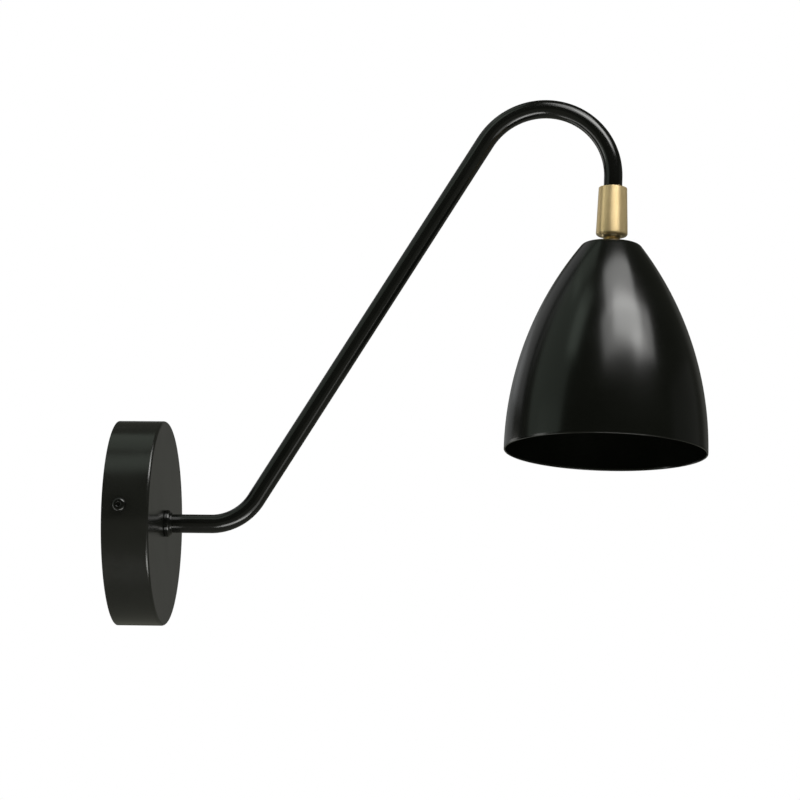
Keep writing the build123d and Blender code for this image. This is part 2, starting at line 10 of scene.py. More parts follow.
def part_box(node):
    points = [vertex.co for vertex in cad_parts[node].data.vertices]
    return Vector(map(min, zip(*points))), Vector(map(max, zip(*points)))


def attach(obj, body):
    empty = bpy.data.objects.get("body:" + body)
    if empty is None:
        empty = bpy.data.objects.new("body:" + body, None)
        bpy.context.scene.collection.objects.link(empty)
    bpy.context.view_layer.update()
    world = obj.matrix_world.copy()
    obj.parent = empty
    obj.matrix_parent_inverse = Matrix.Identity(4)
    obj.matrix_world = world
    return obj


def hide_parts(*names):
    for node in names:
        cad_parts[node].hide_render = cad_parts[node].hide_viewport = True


# Looks of the hooked wall sconce: metres, the wall is x = 0, the room is +x, up is +z.
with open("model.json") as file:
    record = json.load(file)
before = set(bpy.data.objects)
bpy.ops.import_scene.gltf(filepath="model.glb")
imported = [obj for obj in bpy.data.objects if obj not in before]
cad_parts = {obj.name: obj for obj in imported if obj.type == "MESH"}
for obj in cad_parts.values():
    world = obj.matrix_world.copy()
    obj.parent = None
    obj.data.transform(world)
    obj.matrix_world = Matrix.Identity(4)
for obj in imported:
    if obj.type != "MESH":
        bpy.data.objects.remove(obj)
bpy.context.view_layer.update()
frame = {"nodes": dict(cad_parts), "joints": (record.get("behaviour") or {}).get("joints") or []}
mm = 0.001
wallBody, headBody, swivelBody = "wall_arm", "lamp_head", "swivel"
onAxis = 1e-9  # a radius that closes a turned outline at its axis
sameRadius = 0.001 * mm  # an outline point this near a radius counts as on that wall
weldGap, thinEdge = 0.0001 * mm, 0.00001 * mm  # points nearer than the first are one, shorter edges go
looseGap = 0.002 * mm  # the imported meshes' loose triangles are merged within this
print("frame loaded:", len(frame["nodes"]), "nodes")

# places read from the frame
canopyLow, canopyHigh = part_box("canopy")
sleeveLow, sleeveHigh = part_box("swivel_sleeve")
shadeLow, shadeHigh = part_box("shade")
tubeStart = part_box("arm_tube")[0].x
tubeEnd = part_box("sleeve_plug")[1].z
bodyLow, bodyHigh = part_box("lampholder_body")
capLow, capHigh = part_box("lampholder_cap")
shellLow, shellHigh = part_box("socket_shell")
ballCentre = np.array(next(j["pos_m"] for j in frame["joints"] if j["name"] == "head_tilt"))
headAxis = ballCentre[:2]


# mesh helpers
def ringAngles(count):
    # count angles round a full turn, the last one short of the first
    return np.arange(count) * (2 * np.pi / count)


def gridPiece(name, points, wrapRows=True, wrapColumns=True, sharpDegrees=40):
    # points[row, column] is a surface; each quad joins a point to the next row's and next column's,
    # and the last row or column joins the first again where it wraps; the map's u is column / columns
    # and its v is row / rows
    rows, columns = points.shape[:2]
    rowStart = np.arange(rows if wrapRows else rows - 1)
    columnStart = np.arange(columns if wrapColumns else columns - 1)
    row, column = np.meshgrid(rowStart, columnStart, indexing="ij")
    here, above = row * columns, (row + 1) % rows * columns
    beside = (column + 1) % columns
    quads = np.stack([here + column, here + beside, above + beside, above + column], -1)
    mesh = bpy.data.meshes.new(name)
    mesh.from_pydata(points.reshape(-1, 3).tolist(), [], quads.reshape(-1, 4).tolist())
    across = np.stack([column, column + 1, column + 1, column], -1) / columns
    along = np.stack([row, row, row + 1, row + 1], -1) / rows
    uv = np.stack([across, along], -1)
    layer = mesh.uv_layers.new(name="around")
    layer.data.foreach_set("uv", uv.reshape(-1).astype(np.float32))
    return finishedPiece(name, mesh, sharpDegrees)


def finishedPiece(name, mesh, sharpDegrees):
    # poles are welded, faces turned outwards, and edges sharper than the limit shaded as edges
    work = bmesh.new()
    work.from_mesh(mesh)
    bmesh.ops.remove_doubles(work, verts=work.verts, dist=weldGap)
    bmesh.ops.dissolve_degenerate(work, edges=work.edges, dist=thinEdge)
    bmesh.ops.recalc_face_normals(work, faces=work.faces)
    work.to_mesh(mesh)
    work.free()
    mesh.shade_smooth()
    mesh.set_sharp_from_angle(angle=math.radians(sharpDegrees))
    piece = bpy.data.objects.new(name, mesh)
    bpy.context.scene.collection.objects.link(piece)
    return piece


def roundedOutline(corners, steps=8, support=0.12 * mm):
    # a closed outline through (radius, height, rounding) corners: a corner with a rounding becomes
    # an arc that touches both its sides, with a point just before and after it to hold the shading
    spots = np.array([corner[:2] for corner in corners], float)
    outline = []
    for k, corner in enumerate(corners):
        here = spots[k]
        toBack, toNext = spots[k - 1] - here, spots[(k + 1) % len(spots)] - here
        backLength, nextLength = np.linalg.norm(toBack), np.linalg.norm(toNext)
        toBack, toNext = toBack / backLength, toNext / nextLength
        rounding = corner[2]
        if rounding <= 0:
            outline.append(here)
            continue
        halfAngle = math.acos(np.clip(toBack @ toNext, -1, 1)) / 2
        reach = rounding / math.tan(halfAngle)
        middle = here + (toBack + toNext) / np.linalg.norm(toBack + toNext) * rounding / math.sin(halfAngle)
        start, end = here + toBack * reach - middle, here + toNext * reach - middle
        turn = math.atan2(start[0] * end[1] - start[1] * end[0], start @ end)
        t = np.linspace(0, turn, steps + 1)[:, None]
        side = np.array([-start[1], start[0]])
        arc = middle + np.cos(t) * start + np.sin(t) * side
        if backLength > reach + 4 * support:
            outline.append(here + toBack * (reach + support))
        outline.extend(arc)
        if nextLength > reach + 4 * support:
            outline.append(here + toNext * (reach + support))
    return np.array(outline)


def densified(outline, low, high, step):
    # extra points every step on the sides whose middle is between two heights and that are off the axis
    points = [outline[0]]
    for a, b in zip(outline, np.roll(outline, -1, axis=0)):
        wanted = low <= (a[1] + b[1]) / 2 <= high and a[0] + b[0] > sameRadius
        count = int(abs(b[1] - a[1]) / step) if wanted else 0
        if count > 1:
            points.extend(a + (b - a) * np.arange(1, count)[:, None] / count)
        points.append(b)
    return np.array(points[:-1])


def turnedPiece(name, outline, origin, axis="Z", sides=96, wave=None, closed=True, sharpDegrees=40):
    # each (radius, height) point of the outline is carried round the axis; wave(angle, height, radius)
    # adds to the radius, for threads, flutes and hexagons
    angle = ringAngles(sides)[None, :]
    radius, height = outline[:, :1], outline[:, 1:2]
    reach = radius + (wave(angle, height, radius) if wave else 0 * angle)
    across, up, along = reach * np.cos(angle), reach * np.sin(angle), height + 0 * angle
    order = {"Z": (across, up, along), "X": (along, across, up), "Y": (up, along, across)}[axis]
    points = np.stack(order, -1) + np.asarray(origin)
    return gridPiece(name, points, wrapRows=closed, sharpDegrees=sharpDegrees)


def threadWave(pitch, depth, low, high, onRadius):
    # a helical ridge: depth times a triangle wave of (height / pitch - angle / full turn), only between
    # two heights and only on the wall that stands at one radius
    def wave(angle, height, radius):
        phase = (height / pitch - angle / (2 * np.pi)) % 1
        ridge = -depth * np.abs(2 * phase - 1)
        fade = np.clip((height - low) / pitch, 0, 1) * np.clip((high - height) / pitch, 0, 1)
        return ridge * fade * (np.abs(radius - onRadius) < sameRadius)
    return wave


def bentPath(settings, start, end, bendSteps, runStep):
    # straight run, bend up by the rise angle, long run, hook over to straight down, last run
    rise = math.radians(settings["riseDegrees"])
    firstBend, hook = settings["firstBend"], settings["hookBend"]
    bendStart = np.array([settings["bendStart"], 0.0])
    upwards = np.array([math.cos(rise), math.sin(rise)])
    t = np.linspace(0, rise, bendSteps)[:, None]
    lower = bendStart + firstBend * np.hstack([np.sin(t), 1 - np.cos(t)])
    hookStart = lower[-1] + upwards * settings["longRun"]
    t = np.linspace(rise, -math.pi / 2, bendSteps * 2)[:, None]
    hookCentre = hookStart + hook * np.array([math.sin(rise), -math.cos(rise)])
    upper = hookCentre + hook * np.hstack([-np.sin(t), np.cos(t)])
    first = runPoints(np.array([start, 0.0]), bendStart, runStep)
    slope = runPoints(lower[-1], hookStart, 4 * runStep)
    last = runPoints(upper[-1], np.array([upper[-1][0], end]), runStep)
    flat = np.vstack([first[:-1], lower, slope[1:-1], upper, last[1:]])
    return np.insert(flat, 1, 0.0, axis=1)


def runPoints(a, b, step):
    # evenly spaced points from a to b
    count = max(2, int(np.linalg.norm(b - a) / step))
    return a + (b - a) * np.linspace(0, 1, count)[:, None]


def pathFrames(path, sideways):
    # unit tangent at each path point, and two unit vectors square to it; sideways is never along the path
    tangent = np.gradient(path, axis=0)
    tangent /= np.linalg.norm(tangent, axis=1, keepdims=True)
    across = np.cross(tangent, np.broadcast_to(sideways, tangent.shape))
    across /= np.linalg.norm(across, axis=1, keepdims=True)
    return tangent, across, np.cross(tangent, across)


def carriedTube(name, path, radius, bore, sideways, sides=48, wave=None):
    # a circle carried along the path, out along the wall and back along the bore, so the ends are closed
    tangent, across, up = pathFrames(path, sideways)
    angle = ringAngles(sides)[None, :]
    travel = np.r_[0, np.cumsum(np.linalg.norm(np.diff(path, axis=0), axis=1))][:, None]
    outer = radius + (wave(angle, travel, radius + 0 * travel) if wave else 0 * angle)
    inner = np.full((len(path), 1), bore) + 0 * angle
    ring = across[:, None] * np.cos(angle)[..., None] + up[:, None] * np.sin(angle)[..., None]
    outside = path[:, None] + ring * outer[..., None]
    inside = path[:, None] + ring * inner[..., None]
    return gridPiece(name, np.vstack([outside, inside[::-1]]))


def roundWire(name, corners, radius, sideways, sides=20, steps=120):
    # an insulated core along given points: each piece is a quadratic curve between the middles of
    # two runs that leaves along one run and arrives along the next, and flat discs close the two ends
    corners = np.array(corners, float)
    middles = (corners[1:] + corners[:-1]) / 2
    starts = np.vstack([corners[:1], middles[1:-1]])[:, None]
    bends = corners[1:-1, None]
    ends = np.vstack([middles[1:-1], corners[-1:]])[:, None]
    t = np.linspace(0, 1, steps // len(bends))[None, :, None]
    curve = (1 - t) ** 2 * starts + 2 * t * (1 - t) * bends + t**2 * ends
    path = np.vstack([curve[0], *curve[1:, 1:]])
    tangent, across, up = pathFrames(path, sideways)
    angle = ringAngles(sides)[None, :]
    ring = across[:, None] * np.cos(angle)[..., None] + up[:, None] * np.sin(angle)[..., None]
    wall = path[:, None] + ring * radius
    capStart, capEnd = path[:1, None] + 0 * wall[:1], path[-1:, None] + 0 * wall[-1:]
    return gridPiece(name, np.vstack([capStart, wall, capEnd]), wrapRows=False)


def refinedCopy(cadNode, name, edgeWidth=0.0, sharpDegrees=35):
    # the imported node's own shape, with its loose triangles merged, shaded smooth up to its real edges
    mesh = frame["nodes"][cadNode].data.copy()
    mesh.materials.clear()
    work = bmesh.new()
    work.from_mesh(mesh)
    bmesh.ops.remove_doubles(work, verts=work.verts, dist=looseGap)
    bmesh.ops.dissolve_limit(work, angle_limit=math.radians(0.5), verts=work.verts, edges=work.edges)
    work.to_mesh(mesh)
    work.free()
    mesh.shade_smooth()
    mesh.set_sharp_from_angle(angle=math.radians(sharpDegrees))
    piece = bpy.data.objects.new(name, mesh)
    bpy.context.scene.collection.objects.link(piece)
    if edgeWidth > 0:
        bevel = piece.modifiers.new("edge", "BEVEL")
        bevel.width, bevel.segments = edgeWidth, 2
        bevel.limit_method, bevel.angle_limit = "ANGLE", math.radians(sharpDegrees)
        bevel.use_clamp_overlap = True
        bevel.harden_normals = True
    return piece


def joined(name, pieces):
    # several meshes made one piece
    bpy.ops.object.select_all(action="DESELECT")
    for piece in pieces:
        piece.select_set(True)
    bpy.context.view_layer.objects.active = pieces[0]
    bpy.ops.object.join()
    pieces[0].name = name
    return pieces[0]


def dress(piece, body, material, slot, *nodes):
    # the piece gets its finish, rides on its body and stands for its nodes
    piece.data.materials.clear()
    piece.data.materials.append(material)
    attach(piece, body)
    if nodes:
        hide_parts(*nodes)
    return piece


# finishes
noiseMiddle = (0.3, 0.7)  # the noise lies mostly between these
peelDepth, grainDepth, mouldGrainDepth = 0.05 * mm, 0.01 * mm, 0.02 * mm


def newMaterial(name):
    # a material with its node tree and its shader
    material = bpy.data.materials.new(name)
    material.use_nodes = True
    tree = material.node_tree
    return material, tree, tree.nodes["Principled BSDF"]


def node(tree, kind, **values):
    # a node with its settings: a name that isn't a setting of the node is one of its inputs
    made = tree.nodes.new(kind)
    for key, value in values.items():
        if hasattr(made, key):
            setattr(made, key, value)
        else:
            made.inputs[key].default_value = value
    return made


def noiseField(tree, scale, detail, stretch=(1, 1, 1)):
    # noise of the piece's own object coordinates times the stretch, for a finish that has a direction
    coordinates = node(tree, "ShaderNodeTexCoord")
    mapping = node(tree, "ShaderNodeMapping")
    mapping.inputs["Scale"].default_value = stretch
    noise = node(tree, "ShaderNodeTexNoise", Scale=scale, Detail=detail)
    tree.links.new(coordinates.outputs["Object"], mapping.inputs["Vector"])
    tree.links.new(mapping.outputs["Vector"], noise.inputs["Vector"])
    return noise.outputs["Fac"]


def spread(tree, field, low, high):
    # low + (high - low) * the field's place in its middle range, kept between the two values
    ranged = node(tree, "ShaderNodeMapRange")
    ranged.inputs["From Min"].default_value, ranged.inputs["From Max"].default_value = noiseMiddle
    ranged.inputs["To Min"].default_value, ranged.inputs["To Max"].default_value = low, high
    tree.links.new(field, ranged.inputs["Value"])
    return ranged.outputs["Result"]


def colourBetween(tree, factor, colourA, colourB):
    # the first colour where the factor is 0, the second where it is 1
    mix = node(tree, "ShaderNodeMix", data_type="RGBA")
    mix.inputs["A"].default_value, mix.inputs["B"].default_value = (*colourA, 1), (*colourB, 1)
    tree.links.new(factor, mix.inputs["Factor"])
    return mix.outputs["Result"]


def cloudyColour(tree, field, colourA, colourB):
    # two near colours that drift into each other with the noise
    return colourBetween(tree, spread(tree, field, 0, 1), colourA, colourB)


def bumpFrom(tree, fields, principled):
    # bumps chained one on another: (field, strength, depth)
    previous = None
    for field, strength, depth in fields:
        bump = node(tree, "ShaderNodeBump", Strength=strength, Distance=depth)
        tree.links.new(field, bump.inputs["Height"])
        if previous:
            tree.links.new(previous.outputs["Normal"], bump.inputs["Normal"])
        previous = bump
    tree.links.new(previous.outputs["Normal"], principled.inputs["Normal"])


def enamel(name, settings):
    # sprayed enamel or powder coat: a near-black colour and a gloss that drift a little together, orange
    # peel, and the powder's finer grain
    material, tree, principled = newMaterial(name)
    cloud = noiseField(tree, settings["cloudScale"], detail=4)
    peel = noiseField(tree, settings["peelScale"], detail=2)
    grain = noiseField(tree, settings["grainScale"], detail=3)
    colour = cloudyColour(tree, cloud, settings["colourA"], settings["colourB"])
    tree.links.new(colour, principled.inputs["Base Color"])
    tree.links.new(spread(tree, cloud, *settings["roughness"]), principled.inputs["Roughness"])
    principled.inputs["IOR"].default_value = settings["ior"]
    bumps = [(peel, settings["peelStrength"], peelDepth), (grain, settings["grainStrength"], grainDepth)]
    bumpFrom(tree, bumps, principled)
    return material


def turnedMetal(name, settings):
    # metal off a lathe: fine rings square to the turning axis in bump and gloss, faint tarnish clouds,
    # a reflection drawn out along the axis, and a thin lacquer where the settings give one
    material, tree, principled = newMaterial(name)
    rings = noiseField(tree, settings["ringScale"], detail=2, stretch=settings["ringStretch"])
    tarnish = noiseField(tree, settings["tarnishScale"], detail=5)
    colour = cloudyColour(tree, tarnish, settings["colourA"], settings["colourB"])
    tree.links.new(colour, principled.inputs["Base Color"])
    tree.links.new(spread(tree, rings, *settings["roughness"]), principled.inputs["Roughness"])
    principled.inputs["Metallic"].default_value = settings.get("metallic", 1.0)
    principled.inputs["Coat Weight"].default_value = settings.get("coat", 0.0)
    principled.inputs["Coat Roughness"].default_value = settings.get("coatRoughness", 0.03)
    principled.inputs["Anisotropic"].default_value = settings["anisotropic"]
    principled.inputs["Anisotropic Rotation"].default_value = 0.25  # a quarter turn, square to the rings
    if settings["anisotropic"] > 0:
        tangent = node(tree, "ShaderNodeTangent", direction_type="UV_MAP", uv_map="around")
        tree.links.new(tangent.outputs["Tangent"], principled.inputs["Tangent"])
    bumpFrom(tree, [(rings, settings["ringStrength"], grainDepth)], principled)
    return material


def moulding(name, settings):
    # moulded plastic or rubber: fine spark-eroded grain, a soft drift of tone
    material, tree, principled = newMaterial(name)
    cloud = noiseField(tree, settings["cloudScale"], detail=4)
    grain = noiseField(tree, settings["grainScale"], detail=2)
    colour = cloudyColour(tree, cloud, settings["colourA"], settings["colourB"])
    tree.links.new(colour, principled.inputs["Base Color"])
    tree.links.new(spread(tree, cloud, *settings["roughness"]), principled.inputs["Roughness"])
    principled.inputs["Subsurface Weight"].default_value = settings.get("milky", 0.0)
    principled.inputs["Subsurface Scale"].default_value = 1 * mm
    bumpFrom(tree, [(grain, settings["grainStrength"], mouldGrainDepth)], principled)
    return material


def stripedCore(name, settings):
    # two-colour insulation from the piece's own map: the second colour shows where the fraction of
    # u + turns * v is over the first colour's share
    material, tree, principled = newMaterial(name)
    coordinates = node(tree, "ShaderNodeUVMap", uv_map="around")
    parts = node(tree, "ShaderNodeSeparateXYZ")
    tree.links.new(coordinates.outputs["UV"], parts.inputs["Vector"])
    wound = node(tree, "ShaderNodeMath", operation="MULTIPLY_ADD")
    wound.inputs[1].default_value = settings["turns"]
    tree.links.new(parts.outputs["Y"], wound.inputs[0])
    tree.links.new(parts.outputs["X"], wound.inputs[2])
    wrapped = node(tree, "ShaderNodeMath", operation="FRACT")
    tree.links.new(wound.outputs[0], wrapped.inputs[0])
    stripe = node(tree, "ShaderNodeMath", operation="GREATER_THAN")
    stripe.inputs[1].default_value = settings["firstShare"]
    tree.links.new(wrapped.outputs[0], stripe.inputs[0])
    colour = colourBetween(tree, stripe.outputs[0], settings["colourA"], settings["colourB"])
    tree.links.new(colour, principled.inputs["Base Color"])
    grain = noiseField(tree, settings["grainScale"], detail=2)
    tree.links.new(spread(tree, grain, *settings["roughness"]), principled.inputs["Roughness"])
    bumpFrom(tree, [(grain, settings["grainStrength"], grainDepth)], principled)
    return material


canopyCoat = enamel("canopyCoat", {
    "colourA": (0.0064, 0.0068, 0.0056), "colourB": (0.0078, 0.0083, 0.0068), "roughness": (0.19, 0.24),
    "ior": 1.5, "cloudScale": 55, "peelScale": 620, "grainScale": 3600, "peelStrength": 0.05,
    "grainStrength": 0.06})
armCoat = enamel("armCoat", {
    "colourA": (0.0018, 0.0021, 0.0016), "colourB": (0.0028, 0.0031, 0.0025), "roughness": (0.14, 0.18),
    "ior": 1.5, "cloudScale": 60, "peelScale": 700, "grainScale": 3600, "peelStrength": 0.05,
    "grainStrength": 0.05})
shadeCoat = enamel("shadeCoat", {
    "colourA": (0.0014, 0.0018, 0.0011), "colourB": (0.0022, 0.0027, 0.0018), "roughness": (0.18, 0.22),
    "ior": 1.46, "cloudScale": 35, "peelScale": 420, "grainScale": 3200, "peelStrength": 0.04,
    "grainStrength": 0.05})
screwBlack = enamel("screwBlack", {
    "colourA": (0.0020, 0.0022, 0.0018), "colourB": (0.0034, 0.0036, 0.0030), "roughness": (0.15, 0.21),
    "ior": 1.5, "cloudScale": 300, "peelScale": 1500, "grainScale": 5000, "peelStrength": 0.1,
    "grainStrength": 0.2})
satinBrass = turnedMetal("satinBrass", {
    "colourA": (0.78, 0.59, 0.30), "colourB": (0.85, 0.655, 0.355), "roughness": (0.48, 0.53),
    "metallic": 0.7, "coat": 0.5, "coatRoughness": 0.34, "anisotropic": 1.0,
    "ringScale": 60, "ringStretch": (0.02, 0.02, 90), "ringStrength": 0.12, "tarnishScale": 130})
turnedBrass = turnedMetal("turnedBrass", {
    "colourA": (0.88, 0.70, 0.40), "colourB": (0.94, 0.77, 0.47), "roughness": (0.26, 0.36),
    "ringScale": 60, "ringStretch": (0.05, 0.05, 60), "ringStrength": 0.3, "tarnishScale": 200,
    "anisotropic": 0.0})
zincSteel = turnedMetal("zincSteel", {
    "colourA": (0.50, 0.51, 0.52), "colourB": (0.66, 0.66, 0.64), "roughness": (0.30, 0.45),
    "ringScale": 300, "ringStretch": (1, 1, 1), "ringStrength": 0.25, "tarnishScale": 160,
    "anisotropic": 0.0})
springSteel = turnedMetal("springSteel", {
    "colourA": (0.22, 0.22, 0.24), "colourB": (0.32, 0.32, 0.33), "roughness": (0.25, 0.40),
    "ringScale": 300, "ringStretch": (1, 1, 1), "ringStrength": 0.2, "tarnishScale": 200,
    "anisotropic": 0.0})
tinnedCopper = turnedMetal("tinnedCopper", {
    "colourA": (0.66, 0.60, 0.52), "colourB": (0.74, 0.72, 0.68), "roughness": (0.26, 0.40),
    "ringScale": 400, "ringStretch": (1, 1, 1), "ringStrength": 0.2, "tarnishScale": 220,
    "anisotropic": 0.0})
naturalNylon = moulding("naturalNylon", {
    "colourA": (0.72, 0.70, 0.63), "colourB": (0.80, 0.78, 0.71), "roughness": (0.40, 0.52),
    "cloudScale": 120, "grainScale": 2600, "grainStrength": 0.2, "milky": 0.25})
whiteMoulding = moulding("whiteMoulding", {
    "colourA": (0.76, 0.76, 0.74), "colourB": (0.82, 0.82, 0.80), "roughness": (0.38, 0.50),
    "cloudScale": 120, "grainScale": 2600, "grainStrength": 0.2, "milky": 0.1})
holderBlack = moulding("holderBlack", {
    "colourA": (0.010, 0.010, 0.011), "colourB": (0.015, 0.015, 0.016), "roughness": (0.42, 0.55),
    "cloudScale": 90, "grainScale": 2400, "grainStrength": 0.35})
leadJacket = moulding("leadJacket", {
    "colourA": (0.014, 0.014, 0.014), "colourB": (0.022, 0.022, 0.022), "roughness": (0.48, 0.60),
    "cloudScale": 150, "grainScale": 2600, "grainStrength": 0.3})
brownCore = moulding("brownCore", {
    "colourA": (0.120, 0.045, 0.020), "colourB": (0.160, 0.062, 0.028), "roughness": (0.35, 0.48),
    "cloudScale": 200, "grainScale": 3000, "grainStrength": 0.2})
blueCore = moulding("blueCore", {
    "colourA": (0.020, 0.090, 0.330), "colourB": (0.030, 0.120, 0.400), "roughness": (0.35, 0.48),
    "cloudScale": 200, "grainScale": 3000, "grainStrength": 0.2})
earthCore = stripedCore("earthCore", {
    "colourA": (0.09, 0.30, 0.05), "colourB": (0.75, 0.62, 0.05), "roughness": (0.35, 0.50),
    "turns": 5, "firstShare": 0.6, "grainScale": 3000, "grainStrength": 0.2})
print("finishes made")


# canopy
canopy = {"wall": 1.0 * mm, "frontRound": 1.5 * mm, "rimRound": 0.25 * mm, "holeRadius": 5.2 * mm,
          "holeRound": 0.15 * mm, "sides": 224}
canopyRadius = (canopyHigh.y - canopyLow.y) / 2
canopyFace = canopyHigh.x


def canopyOutline():
    # outside wall, rounded front edge, face, arm hole, then back along the inside
    wall, inner = canopy["wall"], canopyRadius - canopy["wall"]
    return roundedOutline([
        (canopyRadius, 0, canopy["rimRound"]),
        (canopyRadius, canopyFace, canopy["frontRound"]),
        (canopy["holeRadius"], canopyFace, canopy["holeRound"]),
        (canopy["holeRadius"], canopyFace - wall, canopy["holeRound"]),
        (inner, canopyFace - wall, canopy["frontRound"] - wall / 2),
        (inner, 0, canopy["rimRound"]),
    ], steps=10)


canopyShell = turnedPiece("canopyShell", canopyOutline(), (0, 0, 0), "X", canopy["sides"])
dress(canopyShell, wallBody, canopyCoat, "canopy_black", "canopy")

screw = {"headRadius": 3.8 * mm, "headHeight": 2.2 * mm, "domeRound": 1.7 * mm, "headEdge": 0.15 * mm,
         "keyFlat": 1.25 * mm, "keyDepth": 1.2 * mm, "keyCone": 0.25 * mm, "keyEdgeDepth": 0.15 * mm,
         "keyEdgeWidth": 0.3 * mm, "shankRadius": 2.0 * mm, "length": 8.0 * mm, "pitch": 0.7 * mm,
         "threadDepth": 0.25 * mm, "threadFromHead": 0.5 * mm, "tipTaper": 0.4 * mm, "tipShare": 0.75,
         "sides": 96}
screwLow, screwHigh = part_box("canopy_screws")
screwX = (screwLow.x + screwHigh.x) / 2


def hexagonWave(angle, height, radius):
    # inside the key socket the wall follows a hexagon: flat / cos(angle from the middle of its side)
    flat = screw["keyFlat"]
    sector = (angle % (np.pi / 3)) - np.pi / 6
    socket = (np.abs(radius - flat) < sameRadius) & (height > 0)
    return socket * (flat / np.cos(sector) - radius)


screwThread = threadWave(screw["pitch"], screw["threadDepth"], -screw["length"], -screw["threadFromHead"],
                         screw["shankRadius"])


def screwWave(angle, height, radius):
    # the hexagon in the socket and the thread's triangle wave on the shank
    return hexagonWave(angle, height, radius) + screwThread(angle, height, radius)


def screwPiece(name, side):
    # a dome head with a hexagon socket and a threaded shank; the far one is turned half way round
    flat, headRadius, shankRadius = screw["keyFlat"], screw["headRadius"], screw["shankRadius"]
    top, tip = screw["headHeight"], -screw["length"]
    floor = top - screw["keyDepth"]
    outline = roundedOutline([
        (onAxis, floor - screw["keyCone"], 0), (flat, floor, 0), (flat, top - screw["keyEdgeDepth"], 0),
        (flat + screw["keyEdgeWidth"], top, 0), (headRadius, top, screw["domeRound"]),
        (headRadius, 0, screw["headEdge"]), (shankRadius, 0, 0), (shankRadius, tip + screw["tipTaper"], 0),
        (shankRadius * screw["tipShare"], tip, 0), (onAxis, tip, 0)], steps=10)
    outline = densified(outline, tip, 0, screw["pitch"] / 6)
    piece = turnedPiece(name, outline, (0, 0, 0), "Y", screw["sides"], screwWave, closed=False)
    place = Matrix.Translation((screwX, side * canopyRadius, 0))
    piece.data.transform(place @ Matrix.Rotation(0 if side > 0 else math.pi, 4, "Z"))
    return piece


canopyScrews = joined("canopyScrews", [screwPiece("screwNear", -1), screwPiece("screwFar", 1)])
dress(canopyScrews, wallBody, screwBlack, "black_screw", "canopy_screws")
print("canopy and its screws made")


# arm
arm = {"radius": 5.0 * mm, "bore": 4.0 * mm, "bendStart": canopyFace + 24.8 * mm, "firstBend": 27.9 * mm,
       "riseDegrees": 59.1, "longRun": 230.3 * mm, "hookBend": 37.6 * mm, "inPlug": 7.7 * mm,
       "threadPitch": 1.0 * mm, "threadDepth": 0.35 * mm, "threadStop": 1.2 * mm, "threadStep": 0.14 * mm,
       "runStep": 2.0 * mm, "bendSteps": 40, "sides": 72}
armPath = bentPath(arm, tubeStart, tubeEnd - arm["inPlug"], arm["bendSteps"], arm["runStep"])
# the nut's thread starts whole at the tube's end and fades out just behind the canopy's face
threadEnd = canopyFace - tubeStart - arm["threadStop"]
armThread = threadWave(arm["threadPitch"], arm["threadDepth"], -arm["threadPitch"], threadEnd,
                       arm["radius"])
tailPoints = runPoints(armPath[0], np.array([canopyFace, 0, 0]), arm["threadStep"])
armPath = np.vstack([tailPoints, armPath[armPath[:, 0] > canopyFace + 0.01 * mm]])
armTube = carriedTube("armTube", armPath, arm["radius"], arm["bore"], (0, 1, 0), arm["sides"], armThread)
dress(armTube, wallBody, armCoat, "arm_black", "arm_tube")

collar = {"beadRadius": 7.25 * mm, "beadLength": 3.1 * mm, "beadRound": 1.35 * mm, "backRound": 0.5 * mm,
          "stepRadius": 5.8 * mm, "stepHollow": 0.25 * mm, "stepRound": 0.4 * mm, "length": 4.0 * mm,
          "bore": 5.05 * mm, "sides": 112}
collarOutline = roundedOutline([
    (collar["bore"], 0, 0), (collar["beadRadius"], 0, collar["backRound"]),
    (collar["beadRadius"], collar["beadLength"], collar["beadRound"]),
    (collar["stepRadius"], collar["beadLength"], collar["stepHollow"]),
    (collar["stepRadius"], collar["length"], collar["stepRound"]),
    (collar["bore"], collar["length"], 0)], steps=10)
armCollar = turnedPiece("armCollar", collarOutline, (canopyFace, 0, 0), "X", collar["sides"])
dress(armCollar, wallBody, armCoat, "arm_black", "arm_collar")
print("arm made:", len(armTube.data.polygons), "faces")


# sleeve and ball joint
sleeve = {"topRadius": 7.65 * mm, "bottomRadius": 8.6 * mm, "topEdge": 0.6 * mm, "bottomRound": 1.4 * mm,
          "seatRadius": 6.7 * mm, "boreEdge": 0.2 * mm, "sides": 160}
sleeveLength = sleeveHigh.z - sleeveLow.z
ballHeight = ballCentre[2] - sleeveLow.z


def sleeveOutline():
    # tapered outside, rounded bottom edge, then the ball's round seat and the straight bore
    seat = sleeve["seatRadius"]
    lip = math.asin(ballHeight / seat)
    t = np.linspace(-lip, 0, 10)[:, None]
    cup = np.hstack([seat * np.cos(t), ballHeight + seat * np.sin(t)])
    outside = roundedOutline([
        (seat, sleeveLength, sleeve["boreEdge"]), (sleeve["topRadius"], sleeveLength, sleeve["topEdge"]),
        (sleeve["bottomRadius"], 0, sleeve["bottomRound"]), (cup[0][0], 0, 0),
        (seat, ballHeight, 0)], steps=12)
    return np.vstack([outside[:-1], cup[1:]])


swivelSleeve = turnedPiece("swivelSleeve", sleeveOutline(), (*headAxis, sleeveLow.z), "Z", sleeve["sides"])
dress(swivelSleeve, wallBody, satinBrass, "satin_brass", "swivel_sleeve")

stem = {"ballRadius": 6.6 * mm, "neckRadius": 3.6 * mm, "neckHollow": 0.5 * mm, "collarRadius": 5.2 * mm,
        "collarHeight": 1.6 * mm, "collarRound": 0.35 * mm, "collarEdge": 0.1 * mm, "bore": 2.6 * mm,
        "threadRadius": 4.0 * mm, "threadLength": 14.0 * mm, "threadEnd": 0.4 * mm, "boreEdge": 0.2 * mm,
        "shadeDrop": 8.0 * mm, "sides": 112}


